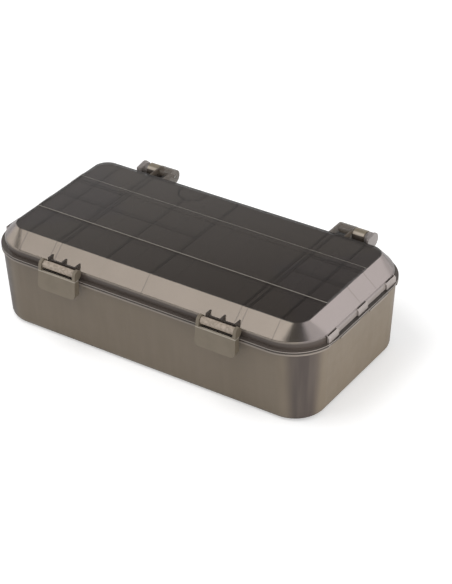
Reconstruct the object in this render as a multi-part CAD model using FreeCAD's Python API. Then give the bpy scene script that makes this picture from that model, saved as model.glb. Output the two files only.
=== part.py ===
import FreeCAD, Part
import math
import os

# Fishing tackle box with a hinged clear lid, two front latches and loose dividers.
# Millimetres. X runs along the long side, Y goes from the latches to the hinges, Z is up.
# The origin is the middle of the flat underside of the tub.

Vector = FreeCAD.Vector
os.makedirs("parts", exist_ok=True)

# Rim, where the lips of the tub and the lid meet
rim_length = 360.0
rim_width = 186.8
rim_corner_radius = 44.2
lip_overhang = 3.8
tub_lip_thickness = 2.3
lid_lip_thickness = 1.6
parting_gap = 0.3
rim_height = 76.3

# Tub
tub_wall = 2.2
tub_floor = 2.4
tub_wall_corner_radius = 35.0
base_inset = 4.4
base_edge_radius = 7.3
tub_inner_edge_chamfer = 3.2

# Lid shell
lid_wall = 2.0
lid_wall_height = 6.4
lid_slope_rise = 14.0
lid_slope_angle = 40.8
lid_top_corner_radius = 14.0
lid_slope_edge_radius = 4.0
lid_slope_levels = 3
panel_height = 0.7
panel_front_share = -0.3405
panel_back_share = 0.3833

# Ribs under the lid, and the layout that they share with the dividers
rib_depth = 2.0
rib_thickness = 1.2
rib_pair_pitch = 6.0
pocket_width = 29.0
pocket_reach = 20.7
main_column_share = 0.5644
end_column_share = 0.7689
mid_column_share = 0.2744
back_row_share = 0.3084
middle_row_share = 0.0107

# Dividers and the rails that hold their ends
divider_thickness = 1.6
divider_drop = 2.5
divider_clearance = 0.3
lap_clearance = 0.25
rail_width = 1.4
rail_depth = 1.6
rail_top_drop = 6.0
rail_base_rise = 4.0

# Snap tongues on the short ends of the lid
tongue_width = 16.5
tongue_stand_off = 0.3
tongue_thickness = 1.6
tongue_side_gap = 0.9
tongue_below_rim = 1.8
tongue_top_lift = 0.2
tongue_slot_width = 1.3
tongue_slot_depth = 3.0
tongue_slot_margin = 0.8
outer_tongue_share = 0.5407

# Latches
latch_share = 0.6414
latch_top_width = 41.4
latch_foot_flare = 0.7
latch_bottom_corner_radius = 5.0
latch_pivot_reach = 4.8
latch_pivot_rise = 8.5
latch_cheek_radius = 4.8
latch_cheek_thickness = 3.0
latch_cheek_depth = 7.0
latch_plate_thickness = 2.2
latch_lean = 7.0
latch_length = 23.3
latch_rear_reach = 0.4
latch_window_drop = 4.8
latch_edge_radius = 0.8
barrel_radius = 3.6
barrel_end_gap = 0.3
barrel_face_gap = 0.35
trunnion_radius = 1.6
trunnion_length = 2.2
trunnion_clearance = 0.06
hook_thickness = 3.0
hook_drop = 0.6
hook_overlap = 1.6
bracket_web_thickness = 1.6
bracket_block_width = 8.0
bracket_block_height = 3.0
bracket_block_count = 3
bracket_rise = 5.2
fin_thickness = 1.6
fin_inset = 1.2

# Rear hinges
hinge_share = 0.8277
hinge_span = 38.2
hinge_axis_reach = 7.1
hinge_axis_rise = 9.3
knuckle_radius = 7.2
tub_knuckle_radius = 6.9
tub_knuckle_width = 11.8
tub_knuckle_share = 0.623
knuckle_side_gap = 0.5
hinge_cheek_thickness = 2.0
sleeve_rib_thickness = 1.0
sleeve_slot_width = 9.0
sleeve_slot_height = 4.0
hinge_web_thickness = 2.2
end_cheek_inset = 0.6
end_cheek_fall = 1.9
roof_drop = 0.5
roof_back_reach = 1.8
roof_gap = 1.2
boss_radius = 5.6
arm_depth = 6.8
arm_lip_gap = 0.8
hinge_pin_radius = 1.5
pin_lid_clearance = 0.02
pin_tub_clearance = 0.06
pin_recess = 0.4
pin_end_wall = 1.6

# One overrun serves all cuts, and one tolerance tells level edges and shared axes
overrun = 10.0
match_tolerance = 0.01
quarter_turn = 90.0

# Sizes that follow from the ones above
half_length = rim_length / 2
half_width = rim_width / 2
wall_half_length = half_length - lip_overhang
wall_half_width = half_width - lip_overhang
lid_wall_corner_radius = rim_corner_radius - lip_overhang
tub_lip_bottom = rim_height - tub_lip_thickness
lid_bottom = rim_height + parting_gap
lid_lip_top = lid_bottom + lid_lip_thickness
slope_start = lid_lip_top + lid_wall_height
slope_top = slope_start + lid_slope_rise
slope_sine = math.sin(math.radians(lid_slope_angle))
slope_cosine = math.cos(math.radians(lid_slope_angle))
straight_half_length = half_length - rim_corner_radius
main_column = main_column_share * half_length
end_column = end_column_share * half_length
mid_column = -mid_column_share * half_length
back_row = back_row_share * half_width
middle_row = middle_row_share * half_width
panel_front = panel_front_share * half_width
panel_back = panel_back_share * half_width
latch_offset = latch_share * straight_half_length
hinge_offset = hinge_share * straight_half_length
pivot_y = -(wall_half_width + latch_pivot_reach)
pivot_z = rim_height + latch_pivot_rise
hinge_y = half_width + hinge_axis_reach
hinge_z = rim_height + hinge_axis_rise


def rounded_outline(half_x, half_y, radius, height):
    """Closed outline of a rectangle with round corners, level at the given height."""
    edges = []
    quarter = math.pi / 2
    arc_middle = 1 / 2
    start = None
    previous = None
    for turn, (side_x, side_y) in enumerate(((1, 1), (-1, 1), (-1, -1), (1, -1))):
        centre = Vector(side_x * (half_x - radius), side_y * (half_y - radius), height)
        points = []
        for share in (0, arc_middle, 1):
            angle = quarter * (turn + share)
            points.append(centre + Vector(radius * math.cos(angle), radius * math.sin(angle), 0))
        if previous is None:
            start = points[0]
        else:
            edges.append(Part.LineSegment(previous, points[0]).toShape())
        edges.append(Part.Arc(*points).toShape())
        previous = points[2]
    edges.append(Part.LineSegment(previous, start).toShape())
    return Part.Wire(edges)


def prism(half_x, half_y, radius, bottom, top):
    """Upright solid with a rounded rectangle as its plan."""
    face = Part.Face(rounded_outline(half_x, half_y, radius, bottom))
    return face.extrude(Vector(0, 0, top - bottom))


def block(low, high):
    """Box between two opposite corners."""
    size = [b - a for a, b in zip(low, high)]
    return Part.makeBox(*size, Vector(*low))


def corner_face(low, high):
    """Face between two level arcs: a cone where they share an upright axis."""
    centre = low.Curve.Center
    shift = high.Curve.Center - centre
    if math.hypot(shift.x, shift.y) > match_tolerance:
        return Part.makeRuledSurface(low, high)
    middle = low.valueAt((low.FirstParameter + low.LastParameter) / 2) - centre
    start = math.degrees(math.atan2(middle.y, middle.x)) - quarter_turn / 2
    upright = Vector(0, 0, 1)
    radii = (low.Curve.Radius, high.Curve.Radius)
    cone = Part.makeCone(*radii, shift.z, centre, upright, quarter_turn)
    cone.rotate(centre, upright, start)
    return next(face for face in cone.Faces if isinstance(face.Surface, Part.Cone))


def tapered_solid(low, high):
    """Solid between two outlines of the same kind: flat sides and round corners."""
    faces = [Part.Face(high), Part.Face(low)]
    for edge_low, edge_high in zip(low.OrderedEdges, high.OrderedEdges):
        if isinstance(edge_low.Curve, Part.Line):
            corners = [vertex.Point for vertex in edge_low.Vertexes + edge_high.Vertexes[::-1]]
            faces.append(Part.Face(Part.makePolygon(corners + corners[:1])))
        else:
            faces.append(corner_face(edge_low, edge_high))
    return Part.Solid(Part.Shell(faces)).removeSplitter()


def rod(x_start, x_end, y, z, radius):
    """Round bar along X."""
    return Part.makeCylinder(radius, x_end - x_start, Vector(x_start, y, z), Vector(1, 0, 0))


def side_profile(points, x_start, x_end):
    """Plate along X whose outline is given as (y, z) points."""
    corners = [Vector(x_start, y, z) for y, z in points]
    face = Part.Face(Part.makePolygon(corners + corners[:1]))
    return face.extrude(Vector(x_end - x_start, 0, 0))


def plan_profile(points, bottom, top):
    """Upright plate whose outline is given as (x, y) points."""
    corners = [Vector(x, y, bottom) for x, y in points]
    face = Part.Face(Part.makePolygon(corners + corners[:1]))
    return face.extrude(Vector(0, 0, top - bottom))


def mirrored(shape):
    """The same piece on the other side of the middle of the long side."""
    return shape.mirror(Vector(0, 0, 0), Vector(1, 0, 0))


def on_height(edge, height):
    """Whether an edge lies level at a height."""
    box = edge.BoundBox
    return max(abs(box.ZMin - height), abs(box.ZMax - height)) < match_tolerance


# Tub forms

def wall_inset(height):
    """How far the tub's outer wall lies inside its place at the rim, at a height."""
    return base_inset * (tub_lip_bottom - height) / tub_lip_bottom


def tub_section(inset, height):
    """Outline of the tub's wall at a height, moved inwards by the inset."""
    inwards = inset + wall_inset(height)
    half_x = wall_half_length - inwards
    half_y = wall_half_width - inwards
    return rounded_outline(half_x, half_y, tub_wall_corner_radius - inwards, height)


def tub_form(inset, bottom, top):
    """Tapered solid that follows the tub's wall."""
    return tapered_solid(tub_section(inset, bottom), tub_section(inset, top))


def tub_cavity(inset, top):
    """Space inside the tub, smaller all round by the inset, down to its floor."""
    form = tub_form(tub_wall + inset, tub_floor, top)
    floor_edges = [edge for edge in form.Edges if on_height(edge, tub_floor)]
    return form.makeChamfer(tub_inner_edge_chamfer, floor_edges)


# Lid forms

def lid_top_half(offset):
    """Half length of the flat top of the lid's form, moved inwards by an offset."""
    rise = lid_slope_rise - offset
    return wall_half_length - (offset + rise * slope_cosine) / slope_sine


def lid_top_half_width():
    """Half width of the flat top of the lid."""
    return lid_top_half(0) - wall_half_length + wall_half_width


def lid_form(offset):
    """Solid under the lid's wall, slopes and top, moved inwards by an offset."""
    turn_height = slope_start - offset * (1 - slope_sine) / slope_cosine
    wall_radius = lid_wall_corner_radius - offset
    wall = (wall_half_length - offset, wall_half_width - offset, wall_radius, turn_height)
    narrowing = lid_top_half(0) - lid_top_half(offset)
    top_half_width = lid_top_half_width() - narrowing
    top = (lid_top_half(offset), top_half_width, lid_top_corner_radius - narrowing, slope_top - offset)
    pieces = [prism(*wall[:-1], lid_bottom, turn_height)]
    outlines = []
    for level in range(lid_slope_levels + 1):
        share = level / lid_slope_levels
        sizes = [low + (high - low) * share for low, high in zip(wall, top)]
        outlines.append(rounded_outline(*sizes))
    for low, high in zip(outlines, outlines[1:]):
        pieces.append(tapered_solid(low, high))
    form = pieces[0].multiFuse(pieces[1:]).removeSplitter()
    if offset > 0:
        return form
    turn_edges = [edge for edge in form.Edges if on_height(edge, turn_height)]
    return form.makeFillet(lid_slope_edge_radius, turn_edges)


def lid_rib_layer():
    """Thin layer under the lid's top and slopes, in which the ribs lie."""
    layer = lid_form(lid_wall).cut(lid_form(lid_wall + rib_depth))
    low = (-half_length, -half_width, slope_start)
    high = (half_length, half_width, slope_top)
    return layer.common(block(low, high))


def column_slab(x, thickness, front, back, bottom, top):
    """Upright slab across the box at a place along X."""
    return block((x - thickness / 2, front, bottom), (x + thickness / 2, back, top))


def row_slab(y, thickness, left, right, bottom, top):
    """Upright slab along the box at a place along Y."""
    return block((left, y - thickness / 2, bottom), (right, y + thickness / 2, top))


def lid_ribs():
    """Pattern of ribs above the dividers, with a round pocket at the back edge."""
    bottom = lid_bottom
    top = slope_top
    front = -half_width
    back = half_width
    slabs = []
    half_pitch = rib_pair_pitch / 2
    columns = [0]
    for side in (-1, 1):
        columns.append(side * end_column)
        columns.append(side * (main_column - half_pitch))
        columns.append(side * (main_column + half_pitch))
    for x in columns:
        slabs.append(column_slab(x, rib_thickness, front, back, bottom, top))
    pair_outside = main_column + half_pitch
    for y in (back_row, middle_row):
        slabs.append(row_slab(y, rib_thickness, -half_length, -pair_outside, bottom, top))
        slabs.append(row_slab(y, rib_thickness, pair_outside, half_length, bottom, top))
    slabs.append(row_slab(middle_row, rib_thickness, half_pitch - main_column, 0, bottom, top))
    slabs.append(row_slab(panel_front, rib_thickness, -half_length, half_length, bottom, top))
    pocket_radius = pocket_width / 2
    pocket_y = lid_top_half_width() - pocket_reach + pocket_radius
    rib_end = pocket_y - pocket_radius + rib_thickness / 2
    slabs.append(column_slab(mid_column, rib_thickness, front, rib_end, bottom, top))
    pocket = pocket_plan(pocket_radius, pocket_y, bottom, top)
    hollow = pocket_plan(pocket_radius - rib_thickness, pocket_y, bottom, top)
    slabs.append(pocket.cut(hollow))
    return slabs[0].multiFuse(slabs[1:]).common(lid_rib_layer())


def pocket_plan(radius, y, bottom, top):
    """Upright solid with a round front end and straight sides to the back."""
    centre = Vector(mid_column, y, bottom)
    round_end = Part.makeCylinder(radius, top - bottom, centre)
    straight = block((mid_column - radius, y, bottom), (mid_column + radius, half_width, top))
    return round_end.fuse(straight)


# Tub

def cross_dividers():
    """Place along X of every divider that runs from front to back."""
    return (-end_column, -main_column, mid_column, 0, main_column, end_column)


def rail_pair(place, along_x):
    """Two slabs, one on each side of a divider's end."""
    reach = divider_thickness / 2 + lap_clearance + rail_width / 2
    bottom = tub_floor + rail_base_rise
    top = rim_height - rail_top_drop
    slabs = []
    for side in (-1, 1):
        middle = place + side * reach
        if along_x:
            slabs.append(row_slab(middle, rail_width, -half_length, half_length, bottom, top))
        else:
            slabs.append(column_slab(middle, rail_width, -half_width, half_width, bottom, top))
    return slabs


def tub_rails():
    """Rails on the inside of the tub's walls, which hold the ends of the dividers."""
    near = tub_form(tub_wall / 2, tub_floor, rim_height)
    far = tub_form(tub_wall + rail_depth, tub_floor, rim_height)
    layer = near.cut(far)
    slabs = []
    for x in cross_dividers():
        slabs += rail_pair(x, False)
    long_walls = slabs[0].multiFuse(slabs[1:]).common(layer)
    slabs = rail_pair(back_row, True) + rail_pair(middle_row, True)
    short_walls = slabs[0].multiFuse(slabs[1:]).common(layer)
    return long_walls, short_walls


def hinge_places():
    """Start and end of each hinge knuckle along X, from the middle outwards."""
    inner = hinge_offset - hinge_span / 2
    outer = hinge_offset + hinge_span / 2
    knuckle_middle = inner + tub_knuckle_share * hinge_span
    knuckle_start = knuckle_middle - tub_knuckle_width / 2
    knuckle_end = knuckle_middle + tub_knuckle_width / 2
    return inner, knuckle_start, knuckle_end, outer


def tub_hinge_knuckle():
    """Knuckle of the right hinge on its arm behind the rim."""
    start, end = hinge_places()[1:-1]
    arm_front = half_width + arm_lip_gap
    arm_back = arm_front + arm_depth
    knuckle = rod(start, end, hinge_y, hinge_z, tub_knuckle_radius)
    arm = block((start, arm_front, tub_lip_bottom), (end, arm_back, hinge_z))
    wall_middle = wall_half_width - tub_wall / 2
    shelf = block((start, wall_middle, tub_lip_bottom), (end, arm_back, rim_height))
    gusset_foot = tub_lip_bottom - arm_depth
    points = (
        (wall_middle - wall_inset(gusset_foot), gusset_foot),
        (arm_back, tub_lip_bottom),
        (wall_middle, tub_lip_bottom),
    )
    middle = (start + end) / 2
    gusset = side_profile(points, middle - tub_wall / 2, middle + tub_wall / 2)
    bore = rod(start - overrun, end + overrun, hinge_y, hinge_z, hinge_pin_radius + pin_tub_clearance)
    return knuckle.multiFuse([arm, shelf, gusset]).cut(bore)


def tongue_places():
    """Places along Y of the snap tongues."""
    return (-outer_tongue_share * half_width, 0, outer_tongue_share * half_width)


def tub_body():
    """Outside of the tub below its lip, with one rounded corner used for all four."""
    form = tub_form(0, 0, tub_lip_bottom)
    base_edges = [edge for edge in form.Edges if on_height(edge, 0)]
    form = form.makeFillet(base_edge_radius, base_edges)
    quarter = form.common(block((0, 0, 0), (half_length, half_width, rim_height)))
    back_half = quarter.fuse(mirrored(quarter))
    return back_half.fuse(back_half.mirror(Vector(0, 0, 0), Vector(0, 1, 0))).removeSplitter()


def make_tub():
    lip = prism(half_length, half_width, rim_corner_radius, tub_lip_bottom, rim_height)
    right_knuckle = tub_hinge_knuckle()
    tub = tub_body().multiFuse([lip, right_knuckle, mirrored(right_knuckle)])
    tub = tub.cut(tub_cavity(0, rim_height + overrun))
    notch_half = tongue_width / 2 + tongue_side_gap
    notches = []
    for y in tongue_places():
        low = (wall_half_length, y - notch_half, tub_lip_bottom - tub_lip_thickness)
        high = (half_length + overrun, y + notch_half, rim_height + overrun)
        notch = block(low, high)
        notches += [notch, mirrored(notch)]
    tub = tub.cut(notches)
    return tub.multiFuse(list(tub_rails())).removeSplitter()


# Lid

def slope_height(x):
    """Height of the plane of the right end's slope at a place along X."""
    return slope_start - (x - wall_half_length) * slope_sine / slope_cosine


def lid_tongue(y):
    """Snap tongue on the right end, whose top carries the slope on."""
    inner_face = wall_half_length + tongue_stand_off
    outer_face = inner_face + tongue_thickness
    bottom = rim_height - tongue_below_rim
    root_face = wall_half_length - lid_wall / 2
    points = (
        (root_face, slope_height(root_face) + tongue_top_lift),
        (outer_face, slope_height(outer_face) + tongue_top_lift),
        (outer_face, bottom),
        (inner_face, bottom),
        (inner_face, lid_bottom),
        (root_face, lid_bottom),
    )
    corners = [Vector(x, y - tongue_width / 2, z) for x, z in points]
    face = Part.Face(Part.makePolygon(corners + corners[:1]))
    return face.extrude(Vector(0, tongue_width, 0))


def lid_tongue_slot(y):
    """Narrow slot between a tongue and the slope above it."""
    half = tongue_width / 2 - tongue_slot_margin
    outer_face = wall_half_length + tongue_stand_off
    low = (outer_face - tongue_slot_width, y - half, slope_start - tongue_slot_depth)
    return block(low, (outer_face, y + half, slope_start + overrun))


def lid_latch_bracket():
    """Barrel of the right latch with the web, blocks and fins that carry it."""
    half_span = latch_top_width / 2 - latch_cheek_thickness - barrel_end_gap
    left = latch_offset - half_span
    right = latch_offset + half_span
    barrel = rod(left, right, pivot_y, pivot_z, barrel_radius)
    web_front = pivot_y + barrel_radius + barrel_face_gap
    web_back = web_front + bracket_web_thickness
    wall_middle = lid_wall / 2 - wall_half_width
    top = pivot_z + bracket_rise
    web_left = left + fin_inset
    web_right = right - fin_inset
    web_bottom = pivot_z - barrel_radius / 2
    web = block((web_left, web_front, web_bottom), (web_right, web_back, top - fin_thickness))
    floor = block((web_left, web_front, web_bottom), (web_right, wall_middle, slope_start))
    pieces = [web, floor]
    block_pitch = (web_right - web_left - bracket_block_width) / (bracket_block_count - 1)
    for step in range(bracket_block_count):
        start = web_left + step * block_pitch
        low = (start, pivot_y, pivot_z - bracket_block_height / 2)
        high = (start + bracket_block_width, web_back, pivot_z + bracket_block_height / 2)
        pieces.append(block(low, high))
    fin_points = (
        (web_front, web_bottom),
        (web_front, top),
        (-lid_top_half_width() - lid_wall, top),
        (wall_middle, web_bottom),
    )
    middle = latch_offset - fin_thickness / 2
    for start in (web_left, middle, web_right - fin_thickness):
        pieces.append(side_profile(fin_points, start, start + fin_thickness))
    bore_radius = trunnion_radius + trunnion_clearance
    bore = rod(left - overrun, right + overrun, pivot_y, pivot_z, bore_radius)
    return barrel.multiFuse(pieces).cut(bore).removeSplitter()


def hinge_cheek(start, end, front, front_drop=0):
    """Plate from a knuckle of the right hinge forwards to the lid."""
    top = hinge_z + knuckle_radius
    bottom = hinge_z - knuckle_radius
    points = (
        (hinge_y, top),
        (front, top - front_drop),
        (wall_half_width - lid_wall / 2, bottom),
        (hinge_y, bottom),
    )
    corners = [Vector(start, y, z) for y, z in points]
    rearmost = Vector(start, hinge_y + knuckle_radius, hinge_z)
    edges = list(Part.makePolygon(corners).Edges)
    edges.append(Part.Arc(corners[-1], rearmost, corners[0]).toShape())
    return Part.Face(Part.Wire(edges)).extrude(Vector(end - start, 0, 0))


def lid_hinge():
    """Sleeve and end block of the right hinge."""
    inner, start, end, outer = hinge_places()
    sleeve_end = start - knuckle_side_gap
    block_start = end + knuckle_side_gap
    wall_back = wall_half_width - lid_wall / 2
    sleeve = rod(inner, sleeve_end, hinge_y, hinge_z, knuckle_radius)
    low = (inner, wall_back, hinge_z - knuckle_radius / 2 - hinge_web_thickness)
    high = (sleeve_end, hinge_y, hinge_z - knuckle_radius / 2)
    web = block(low, high)
    slope_front = lid_top_half_width()
    inner_cheek = hinge_cheek(inner, inner + hinge_cheek_thickness, slope_front)
    rib = hinge_cheek(sleeve_end - sleeve_rib_thickness, sleeve_end, slope_front)
    slot_start = (inner + sleeve_end - sleeve_slot_width) / 2
    slot_bottom = hinge_z - sleeve_slot_height / 2
    low = (slot_start, hinge_y - knuckle_radius - overrun, slot_bottom)
    high = (slot_start + sleeve_slot_width, hinge_y - hinge_pin_radius, slot_bottom + sleeve_slot_height)
    sleeve = sleeve.cut(block(low, high))
    boss = rod(block_start, outer, hinge_y, hinge_z, boss_radius)
    cheek_front = wall_half_width - end_cheek_inset
    cheek_inside = outer - hinge_cheek_thickness
    outer_cheek = hinge_cheek(cheek_inside, outer, cheek_front, end_cheek_fall)
    roof_back = hinge_y + roof_back_reach
    roof_top = hinge_z + knuckle_radius - roof_drop
    roof_points = (
        (cheek_front, roof_top - end_cheek_fall),
        (hinge_y, roof_top),
        (roof_back, roof_top),
        (roof_back, roof_top - hinge_web_thickness),
        (hinge_y, roof_top - hinge_web_thickness),
        (cheek_front, roof_top - end_cheek_fall - hinge_web_thickness),
    )
    roof = side_profile(roof_points, block_start, outer - hinge_cheek_thickness / 2)
    corner_points = (
        (block_start + roof_gap, roof_back),
        (outer, roof_back),
        (outer, cheek_front),
        (cheek_inside, cheek_front),
    )
    roof = roof.common(plan_profile(corner_points, hinge_z, hinge_z + knuckle_radius))
    hinge = sleeve.multiFuse([web, inner_cheek, rib, boss, outer_cheek, roof])
    bore_radius = hinge_pin_radius + pin_lid_clearance
    bore = rod(inner - overrun, outer - pin_end_wall, hinge_y, hinge_z, bore_radius)
    return hinge.cut(bore).removeSplitter()


def lid_panel():
    """Raised middle of the lid's top, which carries the slopes of the ends a little higher."""
    outlines = []
    for rise in (-panel_height, panel_height):
        narrowing = rise * slope_cosine / slope_sine
        half_x = lid_top_half(0) - narrowing
        half_y = lid_top_half_width() - narrowing
        outlines.append(rounded_outline(half_x, half_y, lid_top_corner_radius, slope_top + rise))
    form = tapered_solid(*outlines)
    strip_low = (-half_length, panel_front, slope_top - panel_height)
    strip_high = (half_length, panel_back, slope_top + panel_height)
    return form.common(block(strip_low, strip_high))


def make_lid():
    shell = lid_form(0)
    lip = prism(half_length, half_width, rim_corner_radius, lid_bottom, lid_lip_top)
    right_pieces = [lid_latch_bracket(), lid_hinge()]
    for y in tongue_places():
        right_pieces.append(lid_tongue(y))
    pieces = [lip, lid_panel()]
    for piece in right_pieces:
        pieces += [piece, mirrored(piece)]
    lid = shell.multiFuse(pieces)
    lid = lid.cut(lid_form(lid_wall))
    slots = []
    for y in tongue_places():
        slot = lid_tongue_slot(y)
        slots += [slot, mirrored(slot)]
    lid = lid.cut(slots)
    return lid.fuse(lid_ribs()).removeSplitter()


# Latches

def make_latch():
    """Right latch, closed: plate, two cheeks, trunnions and the hook behind the plate."""
    lean = math.tan(math.radians(latch_lean))
    bottom = pivot_z - latch_length
    window_top = pivot_z - latch_window_drop
    front_top = pivot_y - latch_cheek_radius
    front_bottom = front_top - latch_length * lean
    rear_top = pivot_y + latch_rear_reach
    rear_bottom = front_bottom + latch_cheek_depth
    points = (
        (front_top, pivot_z),
        (front_bottom, bottom),
        (rear_bottom, bottom),
        (rear_top, pivot_z - latch_cheek_radius),
        (pivot_y, pivot_z),
    )
    half_top = latch_top_width / 2
    half_bottom = half_top + latch_foot_flare
    start = latch_offset - half_bottom
    end = latch_offset + half_bottom
    body = side_profile(points, start, end)
    body = body.fuse(rod(start, end, pivot_y, pivot_z, latch_cheek_radius))
    outline = (
        (latch_offset - half_top, pivot_z + latch_cheek_radius),
        (latch_offset - half_bottom, bottom),
        (latch_offset + half_bottom, bottom),
        (latch_offset + half_top, pivot_z + latch_cheek_radius),
    )
    corners = [Vector(x, front_bottom - overrun, z) for x, z in outline]
    front_face = Part.Face(Part.makePolygon(corners + corners[:1]))
    trim = front_face.extrude(Vector(0, latch_length + overrun, 0))
    foot_edges = [
        edge for edge in trim.Edges
        if on_height(edge, bottom) and abs(edge.BoundBox.XLength) < latch_edge_radius
    ]
    body = body.common(trim.makeFillet(latch_bottom_corner_radius, foot_edges))
    pocket_half = half_top - latch_cheek_thickness
    pocket_start = latch_offset - pocket_half
    pocket_end = latch_offset + pocket_half
    plate_back_top = front_top + latch_plate_thickness
    plate_back_bottom = front_bottom + latch_plate_thickness
    behind = rear_bottom + overrun
    above = pivot_z + overrun
    below = bottom - overrun
    pocket_points = (
        (plate_back_top, pivot_z),
        (plate_back_bottom, bottom),
        (plate_back_bottom, below),
        (behind, below),
        (behind, above),
        (plate_back_top, above),
    )
    body = body.cut(side_profile(pocket_points, pocket_start, pocket_end))
    window_low = (pocket_start, front_bottom - overrun, window_top)
    body = body.cut(block(window_low, (pocket_end, pivot_y, above)))
    hook_top = tub_lip_bottom - hook_drop
    hook_tip = -half_width + hook_overlap
    share = (pivot_z - hook_top) / latch_length
    hook_back = front_top - latch_length * lean * share + latch_plate_thickness / 2
    hook_points = (
        (hook_back, hook_top),
        (hook_tip, hook_top),
        (hook_tip, hook_top - hook_thickness / 2),
        (hook_back, hook_top - hook_thickness),
    )
    hook = side_profile(hook_points, pocket_start, pocket_end)
    pieces = [hook]
    for place in (pocket_start, pocket_end - trunnion_length):
        pieces.append(rod(place, place + trunnion_length, pivot_y, pivot_z, trunnion_radius))
    return body.multiFuse(pieces).removeSplitter()


def make_hinge_pin():
    places = hinge_places()
    start = places[0] + pin_recess
    end = places[-1] - pin_end_wall - pin_recess
    return rod(start, end, hinge_y, hinge_z, hinge_pin_radius)


# Dividers

def divider_top():
    return rim_height - divider_drop


def divider_space():
    """Space that the dividers fill: the tub's inside with a little room at the walls."""
    return tub_cavity(divider_clearance, divider_top())


def cross_divider(x, space):
    """Divider from front to back at a place along X."""
    slab = column_slab(x, divider_thickness, -half_width, half_width, tub_floor, rim_height)
    return slab.common(space)


def row_divider(y, left, right, space):
    """Divider along the box between two places along X."""
    slab = row_slab(y, divider_thickness, left, right, tub_floor, rim_height)
    return slab.common(space)


def face_rails(x, side, y):
    """Two rails on a face of a cross divider, which hold the end of a row divider."""
    face = x + side * divider_thickness / 2
    reach = divider_thickness / 2 + lap_clearance
    rails = []
    for turn in (-1, 1):
        near = y + turn * reach
        far = y + turn * (reach + rail_width)
        low = (min(face, face + side * rail_depth), min(near, far), tub_floor)
        high = (max(face, face + side * rail_depth), max(near, far), divider_top())
        rails.append(block(low, high))
    return rails


def make_dividers():
    space = divider_space()
    dividers = {}
    face_reach = divider_thickness / 2 + divider_clearance
    for name, side in (("left", -1), ("right", 1)):
        x = side * main_column
        rails = face_rails(x, side, back_row) + face_rails(x, side, middle_row)
        if side < 0:
            rails += face_rails(x, 1, middle_row)
        dividers["main_divider_" + name] = cross_divider(x, space).multiFuse(rails)
        end_divider = cross_divider(side * end_column, space)
        for y in (back_row, middle_row):
            end_divider = end_divider.cut(end_lap(side * end_column, y))
        dividers["end_divider_" + name] = end_divider
        for row_name, y in (("back", back_row), ("middle", middle_row)):
            near = main_column + face_reach
            left, right = sorted((side * near, side * half_length))
            row = row_divider(y, left, right, space)
            dividers["end_row_" + row_name + "_" + name] = row.cut(row_lap(side * end_column, y))
    dividers["centre_divider"] = cross_divider(0, space).multiFuse(face_rails(0, -1, middle_row))
    mid_divider = cross_divider(mid_column, space)
    dividers["middle_divider"] = mid_divider.cut(end_lap(mid_column, middle_row))
    row = row_divider(middle_row, face_reach - main_column, -face_reach, space)
    dividers["centre_row"] = row.cut(row_lap(mid_column, middle_row))
    return dividers


def end_lap(x, y):
    """Slot from below in a cross divider, where a row divider passes."""
    half = divider_thickness / 2 + lap_clearance
    middle = (tub_floor + divider_top() + lap_clearance) / 2
    low = (x - divider_thickness, y - half, tub_floor - overrun)
    return block(low, (x + divider_thickness, y + half, middle))


def row_lap(x, y):
    """Slot from above in a row divider, where a cross divider passes."""
    half = divider_thickness / 2 + lap_clearance
    middle = (tub_floor + divider_top() - lap_clearance) / 2
    low = (x - half, y - divider_thickness, middle)
    return block(low, (x + half, y + divider_thickness, rim_height + overrun))


def main():
    pieces = {"tub": make_tub(), "lid": make_lid()}
    latch = make_latch()
    pin = make_hinge_pin()
    pieces["latch_right"] = latch
    pieces["latch_left"] = mirrored(latch)
    pieces["hinge_pin_right"] = pin
    pieces["hinge_pin_left"] = mirrored(pin)
    pieces.update(make_dividers())
    for name, shape in pieces.items():
        shape.exportStep("parts/" + name + ".step")
        print(name, "solids", len(shape.Solids), "valid", shape.isValid(), "volume", round(shape.Volume))


main()
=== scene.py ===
import bpy
import math
from mathutils import Matrix, Vector


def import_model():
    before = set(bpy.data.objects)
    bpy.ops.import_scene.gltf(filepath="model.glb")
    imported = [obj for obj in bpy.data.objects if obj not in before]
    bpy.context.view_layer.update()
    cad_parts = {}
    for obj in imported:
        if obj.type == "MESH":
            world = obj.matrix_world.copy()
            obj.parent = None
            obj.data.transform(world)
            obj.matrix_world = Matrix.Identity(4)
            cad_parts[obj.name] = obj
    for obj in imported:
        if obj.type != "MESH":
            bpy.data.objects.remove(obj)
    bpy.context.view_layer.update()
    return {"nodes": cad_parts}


# Fishing tackle box: materials, floor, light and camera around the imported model.
# Lengths are in metres and heights are above the floor. X runs to the right along
# the box and Y from the latches to the hinges.

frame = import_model()

# Walls, slopes and raised panel of the lid, from the part's source
WALL_HALF_LENGTH = 0.1762
WALL_HALF_WIDTH = 0.0896
SLOPE_START = 0.0846
SLOPE_TOP = 0.0986
SLOPE_ANGLE = math.radians(40.8)
PANEL_FRONT = -0.0318
PANEL_BACK = 0.0358
END_HALF_WIDTH = 0.0520

# Lips of the tub and the lid, and the gap between them
TUB_LIP_BOTTOM = 0.0740
PARTING = 0.0763
LIP_MIDDLE = 0.0774
LIP_HALF_HEIGHT = 0.0009
LIP_EDGE = 0.0778

# Tongues, latches and hinges
TONGUE_MIDDLE = 0.1773
TONGUE_HALF_DEPTH = 0.0011
LATCH_EDGE = 0.0798
BARREL_BACK = -0.0907
END_BLOCK_START = 0.1232
KNUCKLE_FRONT = 0.0945
KNUCKLE_BOTTOM = 0.0745
KNUCKLE_SHADE = 0.0959

# Where the round corners of the tub begin
CORNER_X = 0.1412
CORNER_Y = 0.0546

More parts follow.
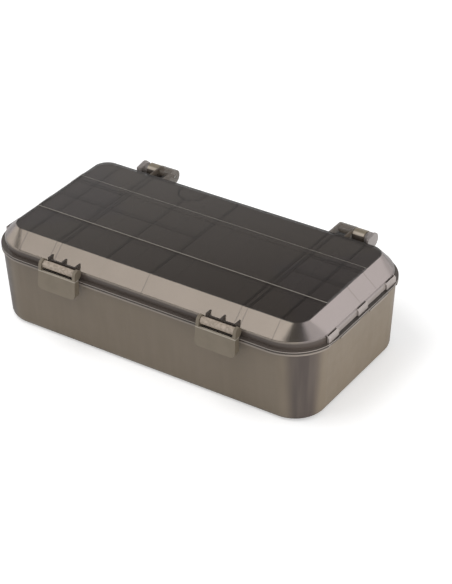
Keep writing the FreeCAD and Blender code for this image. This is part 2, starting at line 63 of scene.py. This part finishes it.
# Ribs under the lid: pairs at the main columns, a round pocket on the middle one
MAIN_COLUMN = 0.1016
PAIR_HALF = 0.0030
END_COLUMN = 0.1384
MID_COLUMN = -0.0494
BACK_ROW = 0.0288
MIDDLE_ROW = 0.0010
POCKET_Y = 0.0672
POCKET_RADIUS = 0.0139
RIB_LINE_HALF = 0.0005
RIB_LINE_SOFT = 0.0003

# Widths over which one tone gives way to the next
HAIR = 0.0001
FINE = 0.0002

# Range of a noise texture that most of its values lie in
NOISE_LOW = 0.3
NOISE_HIGH = 0.7


def colour(red, green, blue):
    """Linear colour with full opacity."""
    return (red, green, blue, 1.0)


WHITE = colour(1.0, 1.0, 1.0)
FLOOR_TONE = colour(0.8, 0.8, 0.8)
STEEL = colour(0.56, 0.55, 0.53)
PARTING_SHADE = colour(0.050, 0.040, 0.034)

# Tones of the tub
TUB_PLAIN = colour(0.172, 0.136, 0.096)
TUB_FLOW = colour(0.196, 0.157, 0.114)
TUB_CLOUD = colour(0.156, 0.122, 0.087)
# Painted shade for the corners of the tub
TUB_CORNER_SHADE = colour(0.058, 0.044, 0.041)
# Painted highlight on the tub's lip
TUB_LIP_HIGHLIGHT = colour(0.262, 0.224, 0.190)
TUB_STREAK = colour(0.236, 0.192, 0.149)
# Hinge knuckles: a painted highlight, and painted shade on their upper side
KNUCKLE_HIGHLIGHT = colour(0.530, 0.458, 0.372)
KNUCKLE_TOP_SHADE = colour(0.215, 0.180, 0.130)

# Tones of the lid
SLOPE_DARK = colour(0.372, 0.320, 0.272)
SLOPE_LIGHT = colour(0.388, 0.334, 0.286)
SLOPE_END = colour(0.340, 0.297, 0.286)
SLOPE_RIB = colour(0.200, 0.170, 0.155)
# Walls and lips: painted shade, with painted light on the end walls
LID_WALL_SHADE = colour(0.088, 0.070, 0.060)
LID_LIP_SHADE = colour(0.100, 0.083, 0.072)
END_WALL_LIT = colour(0.315, 0.274, 0.262)
END_LIP_SHADE = colour(0.040, 0.034, 0.030)
# Painted highlight along the lip's top edge
LIP_HIGHLIGHT = colour(0.420, 0.370, 0.330)
BRACKET = colour(0.120, 0.098, 0.078)
FRONT_BRACKET = colour(0.058, 0.048, 0.042)
BLOCK = colour(0.290, 0.262, 0.250)
TONGUE = colour(0.330, 0.290, 0.270)
BARREL_DARK = colour(0.340, 0.281, 0.226)
BARREL_LIGHT = colour(0.500, 0.416, 0.338)
GLASS = colour(0.030, 0.024, 0.021)
GLASS_RIB = colour(0.003, 0.002, 0.002)
# Painted highlight on the edges of the raised panel
PANEL_EDGE_HIGHLIGHT = colour(0.420, 0.390, 0.345)

# Tones of the latches and the dividers
LATCH_DARK = colour(0.208, 0.172, 0.126)
LATCH_LIGHT = colour(0.232, 0.192, 0.142)
# Painted highlight on the latch's edge below its window
LATCH_RIM_HIGHLIGHT = colour(0.480, 0.430, 0.360)
DIVIDER_DARK = colour(0.20, 0.175, 0.15)
DIVIDER_LIGHT = colour(0.24, 0.21, 0.18)


# Node helpers

class Graph:
    """A node tree with short calls for the nodes used here."""

    def __init__(self, tree, coordinates):
        self.tree = tree
        self.place = self.add("ShaderNodeTexCoord").outputs[coordinates]

    def add(self, kind):
        return self.tree.nodes.new(kind)

    def put(self, value, socket):
        """Links another node's socket, or sets a plain value."""
        if isinstance(value, bpy.types.NodeSocket):
            self.tree.links.new(value, socket)
        else:
            socket.default_value = value

    def axes(self):
        """The coordinates as three numbers."""
        split = self.add("ShaderNodeSeparateXYZ")
        self.put(self.place, split.inputs[0])
        return split.outputs

    def ray(self, kind):
        """One for rays of a kind, zero for others."""
        return self.add("ShaderNodeLightPath").outputs[kind]

    def math(self, operation, first, second=0.0):
        node = self.add("ShaderNodeMath")
        node.operation = operation
        self.put(first, node.inputs[0])
        self.put(second, node.inputs[1])
        return node.outputs[0]

    def plus(self, first, second):
        return self.math("ADD", first, second)

    def minus(self, first, second):
        return self.math("SUBTRACT", first, second)

    def either(self, first, second):
        return self.math("MAXIMUM", first, second)

    def both(self, first, second):
        return self.math("MULTIPLY", first, second)

    def without(self, first, second):
        return self.both(first, self.minus(1.0, second))

    def apart(self, value):
        """Distance of a coordinate from the middle, on either side."""
        return self.math("ABSOLUTE", value)

    def outside(self, value, half):
        """Distance of a coordinate beyond a half size, on either side of the middle."""
        return self.minus(self.apart(value), half)

    def ramp(self, value, low, high, start=0.0, end=1.0):
        """A value that goes smoothly from start to end between low and high."""
        node = self.add("ShaderNodeMapRange")
        node.interpolation_type = "SMOOTHSTEP"
        for item, socket in zip((value, low, high, start, end), node.inputs):
            self.put(item, socket)
        return node.outputs[0]

    def after(self, value, edge, width):
        """Zero up to an edge, one from a width beyond it."""
        return self.ramp(value, edge, edge + width)

    def before(self, value, edge, width):
        """One up to an edge, zero from a width beyond it."""
        return self.ramp(value, edge, edge + width, 1.0, 0.0)

    def band(self, value, middle, half, soft):
        """One inside a band about a middle, zero outside it."""
        return self.before(self.apart(self.minus(value, middle)), half, soft)

    def mix(self, factor, first, second, kind="RGBA"):
        """Goes from the first to the second, which are colours, or numbers for FLOAT."""
        node = self.add("ShaderNodeMix")
        node.data_type = kind
        entry, result = {"FLOAT": (2, 0), "RGBA": (6, 2)}[kind]
        for item, place in ((factor, 0), (first, entry), (second, entry + 1)):
            self.put(item, node.inputs[place])
        return node.outputs[result]


class Material(Graph):
    """A material in the model's own coordinates."""

    def __init__(self, name):
        self.material = bpy.data.materials.new(name)
        self.material.use_nodes = True
        super().__init__(self.material.node_tree, "Object")
        self.shader = self.tree.nodes["Principled BSDF"]
        self.x, self.y, self.z = self.axes()

    def set(self, **values):
        for name, value in values.items():
            self.put(value, self.shader.inputs[name.replace("_", " ")])

    def noise(self, scale, detail=2.0, stretch=(1.0, 1.0, 1.0)):
        mapping = self.add("ShaderNodeMapping")
        mapping.inputs["Scale"].default_value = stretch
        self.put(self.place, mapping.inputs[0])
        node = self.add("ShaderNodeTexNoise")
        node.inputs["Scale"].default_value = scale
        node.inputs["Detail"].default_value = detail
        self.put(mapping.outputs[0], node.inputs["Vector"])
        return node.outputs[0]

    def spread(self, noise, start=0.0, end=1.0):
        """A noise between start and end, with its middle range stretched over both."""
        return self.ramp(noise, NOISE_LOW, NOISE_HIGH, start, end)

    def bump(self, *layers):
        """Bump from pairs of height and depth in metres, one on top of the other."""
        normal = None
        for height, depth in layers:
            node = self.add("ShaderNodeBump")
            node.inputs["Strength"].default_value = 1.0
            node.inputs["Distance"].default_value = depth
            self.put(height, node.inputs["Height"])
            if normal is not None:
                self.put(normal, node.inputs["Normal"])
            normal = node.outputs[0]
        self.set(Normal=normal)


# Materials

def tub_plastic():
    """Satin olive-brown plastic, with painted shade where the wall turns round the corners."""
    made = Material("tub_satin")
    y, z = made.y, made.z
    flow = made.spread(made.noise(scale=9.0, detail=3.0, stretch=(1.0, 1.0, 0.12)))
    tone = made.mix(flow, TUB_PLAIN, TUB_FLOW)
    cloud = made.spread(made.noise(scale=26.0, detail=4.0), end=0.35)
    tone = made.mix(cloud, tone, TUB_CLOUD)

    # Painted shade where the wall turns round the corners
    turn_x = made.ramp(made.outside(made.x, CORNER_X), low=0.006, high=0.018)
    turn_y = made.ramp(made.outside(y, CORNER_Y), low=0.006, high=0.018)
    corner_shade_strength = 0.9
    corner_shade = made.both(made.both(turn_x, turn_y), corner_shade_strength)
    tone = made.mix(corner_shade, tone, TUB_CORNER_SHADE)
    # Painted highlight on the tub's lip, below the parting
    tone = made.mix(made.after(z, TUB_LIP_BOTTOM, FINE), tone, TUB_LIP_HIGHLIGHT)
    shade_drop = 0.0006
    tone = made.mix(made.after(z, PARTING - shade_drop, FINE), tone, PARTING_SHADE)
    streak = made.spread(made.noise(scale=140.0, stretch=(1.0, 1.0, 0.05)), end=0.16)
    tone = made.mix(streak, tone, TUB_STREAK)

    # Hinge knuckles: a painted highlight, and painted shade on their upper side
    behind = made.after(y, KNUCKLE_FRONT, width=0.0005)
    knuckle = made.both(behind, made.after(z, KNUCKLE_BOTTOM, width=0.0020))
    shaded_upper_side = made.after(y, KNUCKLE_SHADE, width=0.0018)
    knuckle_light_and_shade = made.mix(shaded_upper_side, KNUCKLE_HIGHLIGHT, KNUCKLE_TOP_SHADE)
    tone = made.mix(knuckle, tone, knuckle_light_and_shade)

    rough = made.spread(made.noise(scale=60.0, detail=3.0), start=0.34, end=0.44)
    made.set(Base_Color=tone, Roughness=rough, IOR=1.55)
    wave_depth = 0.00035
    grain_depth = 0.00002
    made.bump((made.noise(scale=45.0), wave_depth), (made.noise(scale=1600.0), grain_depth))
    return made.material


def rib_lines(made):
    """Lines over the ribs under the lid: the columns, the rows at the ends, and the rest."""
    x, y = made.x, made.y
    across = made.apart(x)

    def line(value, middle):
        return made.band(value, middle, RIB_LINE_HALF, RIB_LINE_SOFT)

    inner, outer = MAIN_COLUMN - PAIR_HALF, MAIN_COLUMN + PAIR_HALF
    pair = made.either(line(across, inner), line(across, outer))
    columns = made.either(pair, made.either(line(across, END_COLUMN), line(x, 0.0)))
    middle_row = line(y, MIDDLE_ROW)
    rows = made.both(made.after(across, outer, FINE), made.either(line(y, BACK_ROW), middle_row))
    left_field = made.both(made.before(x, 0.0, FINE), made.after(x, -inner - FINE, FINE))

    aside = made.minus(x, MID_COLUMN)
    ahead = made.math("MINIMUM", made.minus(y, POCKET_Y), 0.0)
    reach = made.math("SQRT", made.plus(made.both(aside, aside), made.both(ahead, ahead)))
    before_pocket = made.before(y, POCKET_Y - POCKET_RADIUS, FINE)
    mid_column = made.both(before_pocket, line(x, MID_COLUMN))
    pocket = made.either(line(reach, POCKET_RADIUS), mid_column)
    others = made.either(made.both(left_field, middle_row), pocket)
    return columns, rows, others


def lid_plastic():
    """Smoky lid: polished window, satin slopes, walls with painted shade and clear brackets."""
    made = Material("lid_smoke")
    x, y, z = made.x, made.y, made.z
    beyond_x = made.outside(x, WALL_HALF_LENGTH)
    beyond_y = made.outside(y, WALL_HALF_WIDTH)

    # The window starts just below the top, and the slopes blend into the walls
    window_drop = 0.0005
    blend_drop = 0.0012
    window = made.after(z, SLOPE_TOP - window_drop, width=0.0003)
    above_wall = made.after(z, SLOPE_START - blend_drop, width=0.0026)

    # Brackets are what stands out of the planes of the slopes
    rise = made.both(made.minus(z, SLOPE_START), math.cos(SLOPE_ANGLE))
    reach = made.both(made.either(beyond_x, beyond_y), math.sin(SLOPE_ANGLE))
    proud = made.after(made.plus(rise, reach), FINE, width=0.0004)
    bracket = made.without(proud, window)
    slope = made.without(made.without(above_wall, window), bracket)
    in_lip = made.band(z, LIP_MIDDLE, LIP_HALF_HEIGHT, HAIR)
    tongue_plane = made.band(made.apart(x), TONGUE_MIDDLE, TONGUE_HALF_DEPTH, HAIR)
    tongue = made.without(tongue_plane, in_lip)
    barrel = made.both(bracket, made.before(y, BARREL_BACK - FINE, FINE))
    # Painted highlights along the front and back edges of the raised panel
    front_edge_highlight = made.band(y, PANEL_FRONT, half=0.00025, soft=HAIR)
    back_edge_highlight = made.band(y, PANEL_BACK, half=0.00022, soft=HAIR)
    on_panel = made.after(z, SLOPE_TOP + HAIR, HAIR)
    panel_edge_highlight = made.both(made.either(front_edge_highlight, back_edge_highlight), on_panel)
    end_block = made.both(bracket, made.after(made.apart(x), END_BLOCK_START - HAIR, HAIR))
    end_block = made.both(end_block, made.ramp(y, low=0.0, high=0.001))

    # Slopes, with faint lines where the ribs run up to them
    cloud = made.spread(made.noise(scale=14.0, detail=3.0))
    at_end = made.ramp(made.minus(beyond_x, beyond_y), low=-0.012, high=0.004)
    satin = made.mix(at_end, made.mix(cloud, SLOPE_DARK, SLOPE_LIGHT), SLOPE_END)
    columns, rows, others = rib_lines(made)
    lines = made.either(made.without(columns, at_end), made.both(rows, at_end))
    line_strength = 0.40
    satin = made.mix(made.both(lines, line_strength), satin, SLOPE_RIB)

    # Walls in painted shade, with painted light on the ends between their corners
    from_corner = made.outside(y, END_HALF_WIDTH)
    end_middle = made.ramp(from_corner, low=-0.008, high=0.008, start=1.0, end=0.0)
    lit_end_wall = made.both(made.ramp(beyond_x, low=-0.0012, high=-0.0002), end_middle)
    # Painted shade on the walls and lip; the end walls painted lit, their lip in painted deep
    # shade
    walls = made.mix(in_lip, LID_WALL_SHADE, LID_LIP_SHADE)
    walls = made.mix(lit_end_wall, walls, made.mix(in_lip, END_WALL_LIT, END_LIP_SHADE))
    shade_rise = 0.0004
    walls = made.mix(made.before(z, PARTING + shade_rise, FINE), walls, PARTING_SHADE)
    # Painted highlight along the lip's top edge
    walls = made.mix(made.band(z, LIP_EDGE, FINE, HAIR), walls, LIP_HIGHLIGHT)

    tone = made.mix(slope, walls, satin)
    tone = made.mix(bracket, tone, BRACKET)
    in_front = made.ramp(y, low=-0.001, high=0.0, start=1.0, end=0.0)
    tone = made.mix(made.both(bracket, in_front), tone, FRONT_BRACKET)
    tone = made.mix(end_block, tone, BLOCK)
    tone = made.mix(tongue, tone, TONGUE)
    mottle = made.spread(made.noise(scale=420.0))
    tone = made.mix(barrel, tone, made.mix(mottle, BARREL_DARK, BARREL_LIGHT))
    shown = made.either(columns, made.either(rows, others))
    tone = made.mix(window, tone, made.mix(shown, GLASS, GLASS_RIB))
    tone = made.mix(panel_edge_highlight, tone, PANEL_EDGE_HIGHLIGHT)

    slope_metal = 0.9
    made.set(Base_Color=tone, Metallic=made.both(slope, slope_metal), IOR=1.52)
    rough = made.spread(made.noise(scale=30.0), start=0.225, end=0.245)
    polish = made.ramp(window, low=0.0, high=1.0, start=1.0, end=0.25)
    made.set(Roughness=made.both(rough, polish))

    bracket_clear = 0.12
    window_clear = 0.30
    detail_opaque = 0.95
    opaque = made.ramp(slope, low=0.0, high=1.0, start=0.92, end=0.86)
    opaque = made.minus(opaque, made.both(bracket, bracket_clear))
    opaque = made.minus(opaque, made.both(window, window_clear))
    details = made.either(made.either(tongue, barrel), made.either(panel_edge_highlight, end_block))
    made.set(Alpha=made.either(opaque, made.both(details, detail_opaque)))
    wave_depth = 0.00001
    made.bump((made.noise(scale=16.0, detail=1.0), wave_depth))
    return made.material


def latch_plastic():
    """Olive-taupe moulded latch with a fine grain and a painted highlight on the edge below its
    window.
    """
    made = Material("latch_taupe")
    cloud = made.spread(made.noise(scale=70.0, detail=3.0))
    tone = made.mix(cloud, LATCH_DARK, LATCH_LIGHT)
    # Painted highlight on the latch's edge below its window
    rim_highlight = made.band(made.z, LATCH_EDGE, half=0.0004, soft=HAIR)
    rough = made.spread(made.noise(scale=120.0), start=0.36, end=0.46)
    made.set(Base_Color=made.mix(rim_highlight, tone, LATCH_RIM_HIGHLIGHT), Roughness=rough, IOR=1.5)
    wave_depth = 0.0001
    grain_depth = 0.00002
    made.bump((made.noise(scale=90.0), wave_depth), (made.noise(scale=2200.0), grain_depth))
    return made.material


def divider_plastic():
    """Thin grey-brown divider sheet."""
    made = Material("divider_grey")
    cloud = made.spread(made.noise(scale=40.0, detail=3.0))
    rough = made.spread(made.noise(scale=90.0), start=0.38, end=0.5)
    made.set(Base_Color=made.mix(cloud, DIVIDER_DARK, DIVIDER_LIGHT), Roughness=rough, IOR=1.5)
    wave_depth = 0.0001
    made.bump((made.noise(scale=60.0), wave_depth))
    return made.material


def pin_steel():
    """Drawn steel wire."""
    made = Material("pin_steel")
    lines = made.noise(scale=900.0, stretch=(0.05, 1.0, 1.0))
    rough = made.spread(lines, start=0.24, end=0.38)
    made.set(Base_Color=STEEL, Roughness=rough, Metallic=1.0)
    line_depth = 0.00001
    made.bump((lines, line_depth))
    return made.material


# Finishes by the start of a node's name; the dividers and their rows share the last
finishes = {
    "tub": tub_plastic(),
    "lid": lid_plastic(),
    "latch": latch_plastic(),
    "hinge_pin": pin_steel(),
}
divider_finish = divider_plastic()

# What the lamps reach: the whole object, the object without its latches, or the floor
lit = bpy.data.collections.new("lit_object")
body = bpy.data.collections.new("lit_body")
ground = bpy.data.collections.new("lit_floor")

for name, piece in frame["nodes"].items():
    lit.objects.link(piece)
    if not name.startswith("latch"):
        body.objects.link(piece)
    finish = divider_finish
    for start, made in finishes.items():
        if name.startswith(start):
            finish = made
    for slot in piece.material_slots:
        slot.material = finish


FLOOR_SIZE = 14.0


def floor():
    """Pale floor that keeps the shadow and goes white for the camera."""
    bpy.ops.mesh.primitive_plane_add(size=FLOOR_SIZE, location=(0.0, 0.0, 0.0))
    plane = bpy.context.object
    plane.name = "floor"
    made = Material("floor_pale")
    distance = made.add("ShaderNodeVectorMath")
    distance.operation = "LENGTH"
    made.put(made.place, distance.inputs[0])
    glow = made.ramp(distance.outputs["Value"], low=0.35, high=1.20, start=0.44, end=0.80)
    seen = made.both(made.ray("Is Camera Ray"), glow)
    made.set(Base_Color=FLOOR_TONE, Roughness=0.9, Specular_IOR_Level=0.0)
    made.set(Emission_Color=WHITE, Emission_Strength=seen)
    plane.data.materials.append(made.material)
    ground.objects.link(plane)


def world():
    """White for the camera, level for dull surfaces, a dark ceiling and two screens for gloss."""
    studio = bpy.data.worlds.new("studio")
    bpy.context.scene.world = studio
    studio.use_nodes = True
    graph = Graph(studio.node_tree, "Generated")
    x, y, z = graph.axes()
    ceiling = graph.ramp(z, low=0.45, high=0.575, start=1.0, end=0.03)
    right_side = graph.ramp(x, low=0.10, high=0.35)
    right_screen = graph.both(graph.ramp(y, low=-0.36, high=-0.03), right_side)
    front = graph.ramp(y, low=-0.36, high=-0.28, start=1.38, end=0.0)
    left_side = graph.ramp(x, low=-0.14, high=0.16, start=1.0, end=0.0)
    overhead = graph.ramp(z, low=0.60, high=0.70)
    front_screen = graph.both(graph.both(front, left_side), overhead)
    strength = graph.either(ceiling, graph.either(right_screen, front_screen))
    dull_level = 0.62
    strength = graph.mix(graph.ray("Is Diffuse Ray"), strength, dull_level, "FLOAT")
    strength = graph.mix(graph.ray("Is Camera Ray"), strength, 1.0, "FLOAT")
    background = studio.node_tree.nodes["Background"]
    graph.put(strength, background.inputs["Strength"])
    background.inputs["Color"].default_value = WHITE


floor()
world()


# Lamps

TARGET = Vector((0.0, 0.0, 0.07))


def lamp(name, direction, distance, width, height, radiance, only, glossy=True):
    """Soft box that faces the object, with its own brightness as seen from there."""
    data = bpy.data.lights.new(name, "AREA")
    data.shape = "RECTANGLE"
    data.size = width
    data.size_y = height
    data.energy = radiance * math.pi * width * height
    lamp_object = bpy.data.objects.new(name, data)
    bpy.context.scene.collection.objects.link(lamp_object)
    towards = Vector(direction).normalized()
    lamp_object.location = TARGET + towards * distance
    lamp_object.rotation_euler = towards.to_track_quat("Z", "Y").to_euler()
    lamp_object.light_linking.receiver_collection = only
    lamp_object.visible_glossy = glossy


lamp(
    "front_left_box", direction=(-0.469, -0.437, 0.768), distance=1.7,
    width=1.2, height=0.8, radiance=1.15, only=lit, glossy=False,
)
lamp(
    "right_back_box", direction=(0.47, 0.695, 0.544), distance=1.8,
    width=1.2, height=0.8, radiance=0.5, only=lit,
)
lamp(
    "right_fill", direction=(0.95, -0.1, 0.25), distance=1.5,
    width=1.0, height=0.8, radiance=5.2, only=body, glossy=False,
)
lamp(
    "left_key", direction=(-0.85, 0.05, 0.5), distance=1.6,
    width=0.7, height=0.7, radiance=2.5, only=lit,
)
lamp(
    "floor_key", direction=(-0.22, -0.30, 0.93), distance=1.4,
    width=0.7, height=0.7, radiance=4.8, only=ground, glossy=False,
)


# Camera at the photograph's angle

AZIMUTH = math.radians(33.95)
ELEVATION = math.radians(32.84)
ROLL = math.radians(-0.99)
DISTANCE = 1.86905
SIDE_STEP = 0.02601
UP_STEP = 0.03208
FOCAL_PIXELS = 1969.77
IMAGE_HEIGHT = 584
SENSOR = 36.0
CLIP_START = 0.05

back = Vector((
    math.sin(AZIMUTH) * math.cos(ELEVATION),
    -math.cos(AZIMUTH) * math.cos(ELEVATION),
    math.sin(ELEVATION),
))
level = Vector((math.cos(AZIMUTH), math.sin(AZIMUTH), 0.0))
upright = back.cross(level)
right = level * math.cos(ROLL) + upright * math.sin(ROLL)
up = upright * math.cos(ROLL) - level * math.sin(ROLL)

# The sensor's width counts along the image's longer side, which is its height
camera_data = bpy.data.cameras.new("camera")
camera_data.sensor_fit = "AUTO"
camera_data.sensor_width = SENSOR
camera_data.lens = FOCAL_PIXELS / IMAGE_HEIGHT * SENSOR
camera_data.clip_start = CLIP_START
camera = bpy.data.objects.new("camera", camera_data)
bpy.context.scene.collection.objects.link(camera)
place = Matrix((right, up, back)).transposed().to_4x4()
place.translation = back * DISTANCE + right * SIDE_STEP + up * UP_STEP
camera.matrix_world = place
bpy.context.scene.camera = camera
bpy.context.scene.view_settings.view_transform = "Standard"
